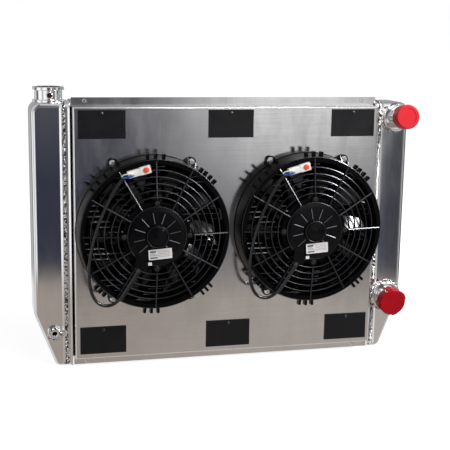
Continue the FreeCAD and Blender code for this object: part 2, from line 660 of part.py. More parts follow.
def make_rotor():
    """The impeller: a cup-shaped hub round the motor case, with ten swept blades."""
    hub = turned([(SHAFT_RADIUS, 10), (40, 10), (HUB_RADIUS, 13), (HUB_RADIUS, 44), (40.5, 44),
                  (40.5, 14.5), (38, 13), (9, 13), (9, 19), (SHAFT_RADIUS, 19)])
    pieces = [hub]
    blade = make_blade().cut(disc(41.5, 0, 60))
    for step in range(BLADES):
        pieces.append(clocked(blade, step * 360 / BLADES))
    return joined(pieces)


def make_motor():
    """The brush motor's pieces, by name; the turning ones ride with the rotor."""
    parts = {}
    wall = 2.0
    inner = CASE_RADIUS - wall
    parts["motor_case"] = turned([(CASE_RADIUS, 54), (CASE_RADIUS, 24), (11, 24), (11, 20.5),
                                  (SHAFT_RADIUS + 1.5, 20.5), (SHAFT_RADIUS + 1.5, 21.5), (BEARING_RADIUS, 21.5),
                                  (BEARING_RADIUS, 26), (inner, 26), (inner, 54)])
    shell = turned([(30.2, 30), (inner, 30), (inner, 47), (30.2, 47)])
    side_gap = box(-60, 60, -60, 0, -6, 6)
    parts["motor_magnets"] = shell.cut(side_gap)
    core = turned([(SHAFT_RADIUS, 31), (29.5, 31), (29.5, 45), (SHAFT_RADIUS, 45)])
    slots = []
    for step in range(12):
        slot = disc(3.0, 30, 46, 0, 23).fuse(box(-0.9, 0.9, -46, -30, 23, 31))
        slots.append(clocked(slot, 30 * step))
    parts["motor_armature"] = without(core, slots)
    coils = []
    for low, high in ((27.5, 31), (45, 48.5)):
        coils.append(turned([(10, low), (26, low), (27, (low + high) / 2), (26, high), (10, high)]))
    parts["motor_windings"] = Part.makeCompound(coils)
    commutator = turned([(SHAFT_RADIUS, 49), (9, 49), (9, 54.4), (SHAFT_RADIUS, 54.4)])
    gaps = []
    for step in range(12):
        gaps.append(clocked(box(-0.25, 0.25, -55, -48, 7.6, 10), 30 * step))
    parts["motor_commutator"] = without(commutator, gaps)
    card = turned([(11, 50.4), (inner - 0.2, 50.4), (inner - 0.2, 52), (11, 52)])
    for side in (-1, 1):
        holder = box(9.4, 22, -54, -49.6, -2.5, 2.5)
        if side < 0:
            holder = mirrored(holder)
        card = card.fuse(holder)
    parts["motor_brush_card"] = card.removeSplitter()
    bearings = []
    for low, high in ((55.5, 60), (21.5, 25.5)):
        bearings.append(turned([(SHAFT_RADIUS + 0.05, low), (BEARING_RADIUS, low), (BEARING_RADIUS, high),
                                (SHAFT_RADIUS + 0.05, high)]))
    parts["motor_bearings"] = Part.makeCompound(bearings)
    parts["motor_shaft"] = disc(SHAFT_RADIUS, 10, 60.2)
    return parts


# The lead's route from the motor's exit, as (across, up, depth) from the fan's centre.
LEAD_ROUTE = ((-32.0, -55.4, 58.8), (-42.0, -72.8, 58.6), (-56.5, -97.6, 54.6), (-66.0, -113.0, 51.6),
              (-80.0, -122.0, 50.2), (-97.0, -120.6, 49.8), (-109.5, -108.0, 50.0), (-116.5, -85.0, 50.6),
              (-117.6, -55.0, 51.4), (-113.5, -24.0, 52.4), (-105.6, 8.0, 53.6), (-94.6, 38.0, 54.4),
              (-80.6, 67.0, 54.2), (-67.0, 89.5, 53.8), (-58.2, 101.2, 53.6), (-50.0, 106.5, 53.6))
CONNECTOR_START = LEAD_ROUTE[-1]


def lead_path():
    """Straight runs joined by tangent arcs, each as large as its two runs allow."""
    points = [vec(x, -depth, z) for x, z, depth in LEAD_ROUTE]
    edges = []
    here = points[0]
    tightest = 1e9
    for i in range(1, len(points) - 1):
        reach = 0.45 * min((points[i] - points[i - 1]).Length, (points[i + 1] - points[i]).Length)
        first, middle, last, radius = corner_arc(points[i - 1], points[i], points[i + 1], reach)
        edges.append(Part.LineSegment(here, first).toShape())
        edges.append(Part.Arc(first, middle, last).toShape())
        here = last
        tightest = min(tightest, radius)
        print("lead radius", i, round(radius, 1))
    edges.append(Part.LineSegment(here, points[-1]).toShape())
    print("lead tightest radius in diameters", round(tightest / LEAD_DIAMETER, 2))
    return Part.Wire(edges), points


def make_lead():
    path, points = lead_path()
    circle = Part.makeCircle(LEAD_DIAMETER / 2, points[0], points[1] - points[0])
    lead = path.makePipeShell([Part.Wire(circle)], True, True)
    section = math.pi * LEAD_DIAMETER ** 2 / 4
    print("lead length", round(path.Length, 1), "volume ratio", round(lead.Volume / (section * path.Length), 4))
    way = (points[1] - points[0]).normalize()
    start = points[0]
    grommet = Part.makeCone(3.6, 3.3, 7.0, start, way)
    grommet = grommet.cut(rod(LEAD_DIAMETER / 2, start - way, start + way * 9))
    return lead, grommet


def make_connector():
    """A two-way plug housing with a collar, a latch and a round lock button, lying on the guard."""
    length = CONNECTOR_LENGTH
    body = prism([vec(0, -5.2, -6.0), vec(0, -5.2, 6.0), vec(0, 5.2, 6.0), vec(0, 5.2, -6.0)], [1.6] * 4,
                 vec(length * 0.56, 0, 0))
    socket = prism([vec(0, -5.6, -6.8), vec(0, -5.6, 6.8), vec(0, 5.6, 6.8), vec(0, 5.6, -6.8)], [1.8] * 4,
                   vec(length * 0.46, 0, 0)).translated(vec(length * 0.54, 0, 0))
    mouth = box(length - 7, length + 1, -3.6, 3.6, -4.8, 4.8)
    latch = box(length * 0.12, length * 0.5, -6.4, -4.8, -2.2, 2.2)
    button = rod(3.1, vec(length - 10, -5, 0), vec(length - 10, -6.6, 0))
    plug = joined([body, socket, latch, button]).cut(mouth)
    plug.rotate(vec(0, 0, 0), vec(0, 1, 0), -CONNECTOR_TILT)
    x, z, depth = CONNECTOR_START
    return plug.translated(vec(x, -depth, z))


def make_labels():
    sticker = prism([vec(-15.5, -60.2, -40), vec(25.5, -60.2, -40), vec(25.5, -60.2, -22), vec(-15.5, -60.2, -22)],
                    [1.2] * 4, vec(0, -0.3, 0))
    sticker.rotate(vec(5, 0, -31), vec(0, 1, 0), -4)
    tag = prism([vec(-16.5, -62.5, -50), vec(-10, -62.5, -50), vec(-10, -62.5, -44.4), vec(-16.5, -62.5, -44.4)],
                [0.8] * 4, vec(0, -0.3, 0))
    return [sticker, tag]


def make_fans():
    frame = make_fan_frame()
    end_cap = make_motor_end_cap()
    rotor = make_rotor()
    motor = make_motor()
    lead, grommet = make_lead()
    connector = make_connector()
    labels = make_labels()
    motor_screws = []
    mount_screws = []
    stickers = []
    for side, fan_x in zip(("left_", "right_"), FAN_X):
        place = vec(fan_x, SHROUD_FACE_Y, FAN_Z)
        save(side + "fan_frame", frame.translated(place))
        save(side + "motor_end_cap", end_cap.translated(place))
        save(side + "fan_rotor", rotor.translated(place))
        save(side + "fan_lead", lead.translated(place))
        save(side + "lead_grommet", grommet.translated(place))
        save(side + "lead_connector", connector.translated(place))
        for name, shape in motor.items():
            save(side + name, shape.translated(place))
        for shape in labels:
            stickers.append(shape.translated(place))
        for angle in MOTOR_SCREW_ANGLES:
            x, z = clock(angle, MOTOR_SCREW_CIRCLE)
            screw = pan_screw(4.0, 2.6, 1.7, 7.4).translated(vec(x, -57.4, z))
            motor_screws.append(screw.translated(place))
        for angle in FAN_SCREW_ANGLES:
            x, z = clock(angle, FAN_SCREW_RADIUS)
            washer = turned([(FAN_BOLT_RADIUS, 5), (6.2, 5), (6.2, 6.2), (FAN_BOLT_RADIUS, 6.2)])
            screw = pan_screw(4.7, 3.2, FAN_BOLT_RADIUS, 12.0).translated(vec(0, -6.2, 0))
            nut = turned([(FAN_BOLT_RADIUS, -SHROUD_SHEET), (4.6, -SHROUD_SHEET), (4.6, -5.0),
                          (FAN_BOLT_RADIUS, -5.0)])
            for shape in (washer, screw, nut):
                mount_screws.append(shape.translated(vec(x, 0, z)).translated(place))
    save_group("motor_screws", motor_screws)
    save_group("fan_mount_screws", mount_screws)
    save_group("motor_labels", stickers)


def main():
    os.makedirs("parts", exist_ok=True)
    make_tanks()
    make_core()
    make_weld_beads()
    make_channels()
    make_shroud()
    make_flaps()
    make_shroud_screws()
    make_hose_neck("upper_hose_neck", UPPER_NECK)
    make_hose_neck("lower_hose_neck", LOWER_NECK)
    make_caps()
    make_filler_neck()
    make_drain_bung()
    make_fans()
    print("shift y", SHIFT_Y)


main()
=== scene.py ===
"""The looks of a crossflow aluminium radiator with a shroud and two electric fans, built round its CAD model.

Metres, in the CAD model's frame: X across the radiator, +Y away from the fans, Z up from the floor.
"""

import json
import math

import bpy
from mathutils import Matrix, Vector, noise


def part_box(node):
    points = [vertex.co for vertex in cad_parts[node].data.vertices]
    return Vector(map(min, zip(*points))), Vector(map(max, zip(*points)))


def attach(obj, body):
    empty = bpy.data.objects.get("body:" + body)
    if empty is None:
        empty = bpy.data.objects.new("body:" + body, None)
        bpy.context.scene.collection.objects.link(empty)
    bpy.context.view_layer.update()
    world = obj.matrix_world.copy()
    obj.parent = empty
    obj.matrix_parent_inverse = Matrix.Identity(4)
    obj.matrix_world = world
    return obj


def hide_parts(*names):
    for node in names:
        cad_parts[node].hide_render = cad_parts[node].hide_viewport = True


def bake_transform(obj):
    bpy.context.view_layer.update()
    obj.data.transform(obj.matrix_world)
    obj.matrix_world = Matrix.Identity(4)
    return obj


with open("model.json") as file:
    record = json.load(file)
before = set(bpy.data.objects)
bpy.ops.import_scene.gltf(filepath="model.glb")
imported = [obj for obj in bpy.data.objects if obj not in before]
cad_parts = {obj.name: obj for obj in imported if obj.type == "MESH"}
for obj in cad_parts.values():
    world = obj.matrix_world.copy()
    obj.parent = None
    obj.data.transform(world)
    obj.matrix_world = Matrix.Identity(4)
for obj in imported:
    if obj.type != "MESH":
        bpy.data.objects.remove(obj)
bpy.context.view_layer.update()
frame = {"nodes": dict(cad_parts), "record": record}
nodes = frame["nodes"]

MM = 0.001
SIDES = ("left", "right")
FACE_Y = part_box("fan_shroud_panel")[0].y
PANEL_MIDDLE_Z = 255 * MM


def middle(node):
    """The middle of a CAD node's box."""
    low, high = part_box(node)
    return (low + high) / 2


FAN_CENTRE = {side: Vector((middle(side + "_motor_shaft").x, FACE_Y, middle(side + "_motor_shaft").z))
              for side in SIDES}


# ---- Camera -------------------------------------------------------------------------------------------
CAMERA_AZIMUTH = math.radians(-14.16)
CAMERA_ELEVATION = math.radians(11.07)
CAMERA_ROLL = math.radians(0.91)
CAMERA_DISTANCE = 1.806
CAMERA_AIM_LEFT = 8.2 * MM
CAMERA_LENS = 80.0
SENSOR_WIDTH = 36.0


def make_camera():
    """A camera at the photograph's viewing angle, aimed a little left of the shroud's middle."""
    aim = Vector((middle("fan_shroud_panel").x - CAMERA_AIM_LEFT, FACE_Y, PANEL_MIDDLE_Z))
    level = math.cos(CAMERA_ELEVATION)
    back = Vector((math.sin(CAMERA_AZIMUTH) * level, -math.cos(CAMERA_AZIMUTH) * level,
                   math.sin(CAMERA_ELEVATION)))
    camera = bpy.data.objects.new("camera", bpy.data.cameras.new("camera"))
    bpy.context.scene.collection.objects.link(camera)
    camera.data.lens = CAMERA_LENS
    camera.data.sensor_width = SENSOR_WIDTH
    camera.location = aim + back * CAMERA_DISTANCE
    upright = (-back).to_track_quat("-Z", "Y").to_matrix()
    camera.rotation_euler = (upright @ Matrix.Rotation(CAMERA_ROLL, 3, "Z")).to_euler()
    bpy.context.scene.camera = camera


make_camera()


# ---- Fan leads ----------------------------------------------------------------------------------------
# The lead's route from the motor's exit, as (across, up, depth) from the fan's centre, in millimetres.
LEAD_ROUTE = ((-32.0, -55.4, 58.8), (-42.0, -72.8, 58.6), (-56.5, -97.6, 54.6), (-66.0, -113.0, 51.6),
              (-80.0, -122.0, 50.2), (-97.0, -120.6, 49.8), (-109.5, -108.0, 50.0), (-116.5, -85.0, 50.6),
              (-117.6, -55.0, 51.4), (-113.5, -24.0, 52.4), (-105.6, 8.0, 53.6), (-94.6, 38.0, 54.4),
              (-80.6, 67.0, 54.2), (-67.0, 89.5, 53.8), (-58.2, 101.2, 53.6), (-50.0, 106.5, 53.6))
LEAD_DIAMETER = 5.8 * MM


def fan_point(side, across, up, depth):
    """The point at millimetre distances from a fan's centre; depth is forward of the shroud's face."""
    return FAN_CENTRE[side] + Vector((across, -depth, up)) * MM


def spline_object(name, points, radius, end_radius=1.0):
    """A round cord along a smooth spline with these control points, thinned or not at its end."""
    curve = bpy.data.curves.new(name, "CURVE")
    curve.dimensions = "3D"
    curve.bevel_depth = radius
    curve.bevel_resolution = 4
    curve.resolution_u = 8
    curve.use_fill_caps = True
    spline = curve.splines.new("NURBS")
    spline.points.add(len(points) - 1)
    for spot, point in zip(spline.points, points):
        spot.co = (*point, 1.0)
    spline.order_u = 3
    spline.use_endpoint_u = True
    spline.points[-1].radius = end_radius
    cord = bpy.data.objects.new(name, curve)
    bpy.context.scene.collection.objects.link(cord)
    return cord


def make_leads():
    """Each fan's sleeved lead, along the same route as its CAD solid."""
    for side in SIDES:
        route = [fan_point(side, *point) for point in LEAD_ROUTE]
        lead = spline_object(side + "_lead_sleeve", route, LEAD_DIAMETER / 2, end_radius=0.4)
        lead.data.materials.append(material("lead_sleeve"))
        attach(lead, "root")
        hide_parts(side + "_fan_lead")


# ---- Materials ----------------------------------------------------------------------------------------
class Finish:
    """One procedural material, built node by node on the row frame's coordinates."""

    def __init__(self, name):
        self.material = bpy.data.materials.new(name)
        self.material.use_nodes = True
        self.tree = self.material.node_tree
        self.surface = self.tree.nodes["Principled BSDF"]
        self.place = self.add("ShaderNodeTexCoord").outputs["Object"]

    def add(self, kind, **inputs):
        """A node with the given inputs, each a plain value or another node's output."""
        node = self.tree.nodes.new(kind)
        for name, value in inputs.items():
            self.feed(node.inputs[name.replace("_", " ")], value)
        return node

    def feed(self, socket, value):
        if isinstance(value, bpy.types.NodeSocket):
            self.tree.links.new(value, socket)
        else:
            socket.default_value = value

    def stretched(self, x, y, z):
        """Coordinates scaled differently along each axis, for grain."""
        return self.add("ShaderNodeMapping", Vector=self.place, Scale=(x, y, z)).outputs[0]

    def noise(self, where, scale=1.0, detail=3.0, rough=0.55):
        made = self.add("ShaderNodeTexNoise", Vector=where, Scale=scale, Detail=detail, Roughness=rough)
        return made.outputs[0]

    def ranged(self, value, low, high, to_low, to_high):
        made = self.add("ShaderNodeMapRange", Value=value)
        for index, number in enumerate((low, high, to_low, to_high)):
            made.inputs[index + 1].default_value = number
        return made.outputs[0]

    def mixed(self, share, first, second):
        """A colour between two others."""
        made = self.tree.nodes.new("ShaderNodeMix")
        made.data_type = "RGBA"
        for socket, value in zip((made.inputs[0], made.inputs[6], made.inputs[7]), (share, first, second)):
            self.feed(socket, value)
        return made.outputs[2]

    def maths(self, operation, first, second):
        made = self.tree.nodes.new("ShaderNodeMath")
        made.operation = operation
        self.feed(made.inputs[0], first)
        self.feed(made.inputs[1], second)
        return made.outputs[0]

    def bump(self, height, strength, distance, under=None):
        made = self.add("ShaderNodeBump", Height=height, Strength=strength, Distance=distance)
        if under is not None:
            self.feed(made.inputs["Normal"], under)
        return made.outputs[0]

    def set(self, **values):
        for name, value in values.items():
            self.feed(self.surface.inputs[name.replace("_", " ")], value)


def shade(colour, factor):
    """A colour made lighter or darker, with the alpha that a socket needs."""
    return tuple(min(1.0, part * factor) for part in colour) + (1.0,)


def metal(name, colour, rough, grain, grain_depth, dents=0.0, tarnish=0.12, anisotropy=0.0):
    """Bare metal with a directional grain, cloudy tarnish, roughness that varies and shallow dents."""
    made = Finish(name)
    lines = made.noise(made.stretched(*grain), 1.0, 4.0, 0.7)
    fine = made.noise(made.stretched(*(part * 4 for part in grain)), 1.0, 2.0, 0.6)
    clouds = made.noise(made.place, 14.0, 4.0, 0.6)
    smears = made.noise(made.stretched(20, 20, 6), 2.0, 5.0, 0.65)
    cloudy = made.ranged(clouds, 0.3, 0.7, 0.0, 1.0)
    plain = made.mixed(cloudy, shade(colour, 1.0 + tarnish / 3), shade(colour, 1.0 - tarnish))
    streaks = made.ranged(lines, 0.35, 0.65, 0.0, 0.35)
    streaked = made.mixed(streaks, plain, shade(colour, 1.0 - 1.5 * tarnish))
    uneven = made.maths("ADD", made.ranged(smears, 0.3, 0.7, rough * 0.75, rough * 1.35),
                        made.ranged(lines, 0.3, 0.7, -0.15 * rough, 0.15 * rough))
    normal = made.bump(lines, 0.2, grain_depth * MM)
    normal = made.bump(fine, 0.15, grain_depth * MM * 0.5, normal)
    if dents:
        normal = made.bump(made.noise(made.place, 9.0, 2.0, 0.5), 1.0, dents * MM, normal)
    made.set(Base_Color=streaked, Metallic=1.0, Roughness=uneven, Normal=normal, Anisotropic=anisotropy)
    return made.material


def moulded(name, colour, rough, texture=1800.0, depth=0.03, dust=0.05, gloss=0.5):
    """Plastic, rubber or paint: a fine surface texture, handling smudges and a little dust."""
    made = Finish(name)
    pebbles = made.noise(made.place, texture, 2.0, 0.5)
    smudges = made.noise(made.place, 35.0, 5.0, 0.6)
    dusty = made.ranged(made.noise(made.place, 90.0, 6.0, 0.7), 0.45, 0.8, 0.0, dust)
    tinted = made.mixed(made.ranged(smudges, 0.3, 0.7, 0.0, 1.0), shade(colour, 1.0), shade(colour, 0.8))
    coloured = made.mixed(dusty, tinted, (0.5, 0.49, 0.47, 1.0))
    uneven = made.ranged(smudges, 0.3, 0.7, rough - 0.05, rough + 0.08)
    normal = made.bump(pebbles, 0.35, depth * MM)
    made.set(Base_Color=coloured, Roughness=uneven, Normal=normal, Specular_IOR_Level=gloss)
    return made.material


def welded(name):
    """Weld metal: bright and lumpy, with painted shade, a near-black colour, in the low spots of its lumps.
    """
    made = Finish(name)
    lumps = made.noise(made.place, 330.0, 2.0, 0.5)
    # painted shade: where the bump sinks the lumps, the colour goes near-black
    hollow_shade = made.ranged(lumps, 0.42, 0.56, 1.0, 0.0)
    coloured = made.mixed(hollow_shade, (0.80, 0.80, 0.80, 1.0), (0.02, 0.02, 0.02, 1.0))
    normal = made.bump(lumps, 1.0, 1.4 * MM)
    made.set(Base_Color=coloured, Metallic=1.0, Roughness=0.18, Normal=normal)
    return made.material


# Each finish as its maker and that maker's settings
MAKERS = {
    "shroud_aluminium": (metal, (0.76, 0.755, 0.75), 0.13, (9, 700, 700), 0.006, 0.10, 0.09, 0.5),
    "tank_aluminium": (metal, (0.80, 0.80, 0.81), 0.06, (160, 160, 12), 0.004, 0.08, 0.07),
    "header_aluminium": (metal, (0.84, 0.84, 0.84), 0.22, (200, 200, 12), 0.015, 0.0, 0.06),
    "weld_aluminium": (welded,),
    "tube_aluminium": (metal, (0.92, 0.92, 0.92), 0.34, (20, 300, 300), 0.02, 0.0, 0.05),
    # painted shade inside the core: the fins are coloured near-black, not the bright aluminium they are made
    # of
    "fin_aluminium": (metal, (0.02, 0.02, 0.022), 0.5, (300, 300, 300), 0.02, 0.0, 0.15),
    "channel_aluminium": (metal, (0.78, 0.78, 0.78), 0.22, (5, 300, 300), 0.02, 0.2, 0.08, 0.4),
    "machined_aluminium": (metal, (0.90, 0.90, 0.91), 0.1, (30, 30, 1500), 0.01, 0.0, 0.04),
    "screw_steel": (metal, (0.78, 0.78, 0.76), 0.22, (700, 700, 700), 0.01, 0.0, 0.1),
    "bearing_steel": (metal, (0.62, 0.62, 0.62), 0.18, (900, 40, 900), 0.005),
    "armature_steel": (metal, (0.42, 0.42, 0.42), 0.4, (30, 1800, 30), 0.04),
    "copper": (metal, (0.72, 0.36, 0.18), 0.28, (600, 900, 600), 0.1),
    "flap_rubber": (moulded, (0.003, 0.003, 0.004), 0.3, 900.0, 0.02, 0.002, 0.3),
    "black_fasteners": (moulded, (0.012, 0.012, 0.013), 0.3, 1500.0, 0.01, 0.0, 0.4),
    "red_cap_plastic": (moulded, (0.42, 0.006, 0.014), 0.28, 1200.0, 0.03, 0.0, 0.25),
    "dark_red_cap_plastic": (moulded, (0.27, 0.0, 0.005), 0.22, 1200.0, 0.01, 0.0, 0.2),
    "plug_plastic": (moulded, (0.020, 0.001, 0.001), 0.30, 1200.0, 0.02, 0.004, 0.3),
    "frame_plastic": (moulded, (0.001, 0.001, 0.0013), 0.3, 1500.0, 0.01, 0.0, 0.07),
    "rotor_plastic": (moulded, (0.0015, 0.0015, 0.002), 0.13, 1500.0, 0.01, 0.0, 0.3),
    "end_cap_paint": (moulded, (0.0015, 0.0015, 0.002), 0.16, 700.0, 0.015, 0.0, 0.2),
    "motor_case_paint": (moulded, (0.025, 0.025, 0.025), 0.4),
    "magnet_ferrite": (moulded, (0.06, 0.06, 0.065), 0.7, 1200.0, 0.05),
    "card_plastic": (moulded, (0.16, 0.09, 0.04), 0.5),
    "connector_plastic": (moulded, (0.60, 0.59, 0.57), 0.35, 1200.0, 0.01, 0.1),
    "grommet_rubber": (moulded, (0.018, 0.018, 0.018), 0.5),
    "lead_sleeve": (moulded, (0.002, 0.002, 0.003), 0.2, 900.0, 0.01, 0.0, 0.6),
    "label_film": (moulded, (0.50, 0.50, 0.50), 0.35, 800.0, 0.005, 0.12),
    "label_ink": (moulded, (0.03, 0.03, 0.035), 0.4, 900.0, 0.005, 0.1),
    "pale_ink": (moulded, (0.25, 0.2, 0.2), 0.4, 900.0, 0.005, 0.1),
    "blue_wire": (moulded, (0.02, 0.06, 0.32), 0.35, 900.0, 0.01, 0.02),
    "pale_wire": (moulded, (0.7, 0.7, 0.68), 0.35, 900.0, 0.01, 0.05),
    "polished_edge": (metal, (0.065, 0.065, 0.072), 0.24, (700, 700, 700), 0.005, 0.0, 0.3),
    "worn_edge": (metal, (0.24, 0.24, 0.25), 0.16, (700, 700, 700), 0.005, 0.0, 0.2),
    "edge_aluminium": (metal, (0.93, 0.93, 0.93), 0.12, (200, 200, 12), 0.01, 0.0, 0.03),
    # a near-black sheet that stands in for painted shade in the gap beside the core
    "painted_shade_black": (moulded, (0.002, 0.002, 0.002), 0.9, 900.0, 0.1, 0.0, 0.1),
    "orange_button": (moulded, (0.72, 0.055, 0.01), 0.3, 900.0, 0.01, 0.02),
}
made_materials = {}


def material(name):
    """The finish of this name, made when it is first asked for."""
    if name not in made_materials:
        maker, *settings = MAKERS[name]
        made_materials[name] = maker(name, *settings)
    return made_materials[name]


def dress_cad_nodes():
    """Every CAD node takes the procedural material of its own slot."""
    for part in frame["record"]["subparts"]:
        shown = nodes[part["node"]]
        for index in range(len(shown.material_slots)):
            shown.material_slots[index].material = material(part["material_slot"])


# ---- Detail pieces ------------------------------------------------------------------------------------
def mesh_piece(name, points, faces, body, finish, smooth=True):
    """A mesh that rides on a body when one is given, and wears one procedural material."""
    mesh = bpy.data.meshes.new(name)
    mesh.from_pydata(points, [], faces)
    mesh.validate()
    if smooth:
        mesh.shade_smooth()
        mesh.set_sharp_from_angle(angle=math.radians(40))
    mesh.materials.append(material(finish))
    piece = bpy.data.objects.new(name, mesh)
    bpy.context.scene.collection.objects.link(piece)
    if body is not None:
        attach(piece, body)
    return piece


FIN_STRIPS = 46
FIN_HEIGHT = 7.8 * MM
FIN_WAVE = 3.2 * MM
FIN_SHEET = 0.14 * MM


def make_fins():
    """Folded fin strips between the tubes, each a thin zigzag sheet as deep as the core."""
    low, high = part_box("core_fins")
    pitch = (high.z - low.z - FIN_HEIGHT) / (FIN_STRIPS - 1)
    folds = 2 * round((high.x - low.x) / FIN_WAVE)
    points = []
    faces = []
    for strip in range(FIN_STRIPS):
        bottom = low.z + strip * pitch
        first = len(points)
        for fold in range(folds + 1):
            x = low.x + (high.x - low.x) * fold / folds
            z = bottom if fold % 2 == 0 else bottom + FIN_HEIGHT - FIN_SHEET
            for y in (low.y, high.y):
                points.append((x, y, z))
                points.append((x, y, z + FIN_SHEET))
        for fold in range(folds):
            a = first + 4 * fold
            b = a + 4
            faces += [(a, b, b + 1, a + 1), (a + 1, b + 1, b + 3, a + 3), (a + 3, b + 3, b + 2, a + 2),
                      (a + 2, b + 2, b, a)]
        last = first + 4 * folds
        faces += [(first, first + 1, first + 3, first + 2), (last, last + 2, last + 3, last + 1)]
    # the fin strips wear the near-black finish, which is painted shade inside the core
    fins = mesh_piece("core_fin_strips", points, faces, "root", "fin_aluminium",
                      smooth=False)
    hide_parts("core_fins")


BEAD_SECTION = 10
BEAD_STEPS_PER_RIPPLE = 6
BEAD_SINK = 0.3 * MM


def resampled(path, step):
    """Evenly spaced (distance, point, direction) along a polyline."""
    lengths = [0.0]
    for i in range(1, len(path)):
        lengths.append(lengths[-1] + (path[i] - path[i - 1]).length)
    count = max(2, round(lengths[-1] / step))
    found = []
    i = 1
    for k in range(count + 1):
        distance = lengths[-1] * k / count
        while i < len(path) - 1 and lengths[i] < distance:
            i += 1
        share = (distance - lengths[i - 1]) / max(1e-9, lengths[i] - lengths[i - 1])
        found.append((distance, path[i - 1].lerp(path[i], share), (path[i] - path[i - 1]).normalized()))
    return found


def weld_bead(name, path, outwards, width, height, ripple, fat_ends=0.0):
    """A bead of overlapping ripples laid along a path; outwards gives the bead's up direction at a point."""
    points = []
    faces = []
    stations = resampled(path, ripple / BEAD_STEPS_PER_RIPPLE)
    total = stations[-1][0]
    ring = BEAD_SECTION + 3
    for distance, point, direction in stations:
        out = outwards(point).normalized()
        across = direction.cross(out).normalized()
        wander = noise.noise(Vector((distance * 90, point.x * 50, 3.7)))
        swell = 1.0 + 0.16 * noise.noise(Vector((distance * 40, 9.1, point.x * 20)))
        if fat_ends:
            from_end = min(distance, total - distance)
            swell += 0.45 * min(1.0, 2.0 * max(0.0, 1.0 - from_end / fat_ends))
        for j in range(BEAD_SECTION + 1):
            u = 2 * j / BEAD_SECTION - 1
            phase = (distance + 0.55 * ripple * u * u) / ripple + 0.22 * wander
            share = phase - math.floor(phase)
            dome = max(0.0, 1 - abs(u) ** 2.4) ** 0.6
            crest = 0.55 + 0.45 * math.sin(math.pi * share) ** 0.6
            side = u * width / 2 * swell * (0.95 + 0.05 * math.sin(math.pi * share))
            side += 0.12 * width * wander / 2
            points.append(point + across * side + out * (height * dome * crest))
        for u in (1.0, -1.0):
            points.append(point + across * (u * width / 2 * 0.9) - out * BEAD_SINK)
    for k in range(len(stations) - 1):
        for j in range(ring):
            a = k * ring + j
            b = k * ring + (j + 1) % ring
            faces.append((a, b, b + ring, a + ring))
    last = (len(stations) - 1) * ring
    faces.append(tuple(range(ring - 1, -1, -1)))
    faces.append(tuple(range(last, last + ring)))
    return mesh_piece(name, points, faces, "root", "weld_aluminium")


TANK_EDGE = 9.0 * MM
ARC_STEPS = 10


def from_tank(point, low, high):
    """The way out of a tank's rounded front, top and back at a point on them."""
    y = min(max(point.y, low.y + TANK_EDGE), high.y - TANK_EDGE)
    z = min(point.z, high.z - TANK_EDGE)
    return Vector((0, point.y - y, max(0.0, point.z - z)))


def seam_path(x, low, high, foot):
    """Up the front of a tank, round over its top and down its back, from a foot height."""
    path = [Vector((x, low.y, foot))]
    for centre_y, start in ((low.y + TANK_EDGE, 180), (high.y - TANK_EDGE, 90)):
        for k in range(ARC_STEPS + 1):
            angle = math.radians(start - 90 * k / ARC_STEPS)
            path.append(Vector((x, centre_y + TANK_EDGE * math.cos(angle),
                                high.z - TANK_EDGE + TANK_EDGE * math.sin(angle))))
    path.append(Vector((x, high.y, foot)))
    return path


def ring_path(centre, radius):
    """A circle on a tank's front face, clockwise from its top."""
    path = []
    for k in range(RING_STEPS + 1):
        angle = math.radians(360.0 * k / RING_STEPS)
        path.append(centre + Vector((math.sin(angle), 0, math.cos(angle))) * radius)
    return path


SEAM_WIDTH = 7.0 * MM
SEAM_HEIGHT = 1.7 * MM
SEAM_RIPPLE = 2.7 * MM
SEAM_FROM_HEADER = 3.9 * MM
SEAM_FOOT = 4 * MM
SEAM_FAT_END = 55 * MM
RING_STEPS = 72
RING_RIPPLE = 3.4 * MM
RING_FLARE = 0.5
# Each ring weld's neck, middle radius, lift off the tank's face, width and height in millimetres
RING_WELDS = (("upper_hose_neck", 24.6, 0.0, 6.0, 3.0), ("lower_hose_neck", 28.1, 0.0, 6.4, 3.0),
              ("drain_bung", 10.8, 7.7, 5.6, 1.3))
NECK_HEIGHT = {"upper_hose_neck": 0.444, "lower_hose_neck": 0.103, "drain_bung": 0.063}


def make_welds():
    """The seam between each tank and its header, and the rings round the hose necks and the drain."""
    for side in SIDES:
        low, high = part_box(side + "_tank")
        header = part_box(side + "_header")
        seam_x = header[0].x - SEAM_FROM_HEADER if side == "left" else header[1].x + SEAM_FROM_HEADER
        bead = weld_bead(side + "_tank_seam", seam_path(seam_x, low, high, SEAM_FOOT),
                         lambda point, low=low, high=high: from_tank(point, low, high),
                         SEAM_WIDTH, SEAM_HEIGHT, SEAM_RIPPLE, fat_ends=SEAM_FAT_END)
        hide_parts("weld_beads")
    face_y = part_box("right_tank")[0].y
    for name, radius, lift, width, height in RING_WELDS:
        centre = Vector((middle(name).x, face_y - lift * MM, NECK_HEIGHT[name]))
        weld_bead(name + "_weld", ring_path(centre, radius * MM),
                  lambda point, c=centre: Vector((0, -1.0, 0)) + (point - c).normalized() * RING_FLARE,
                  width * MM, height * MM, RING_RIPPLE)


FLAP_EDGE = 0.4 * MM
FLAP_TOP_STRIP = 11.0 * MM
FLAP_GRID = (16, 12)
FLAP_LIFT = 0.25
FLAP_CURL = 0.9


def spread(low, high, edge, count):
    """Places from low to high with one extra place an edge's width in from each end."""
    inner = [low + edge + (high - low - 2 * edge) * k / (count - 1) for k in range(count)]
    return [low] + inner + [high]


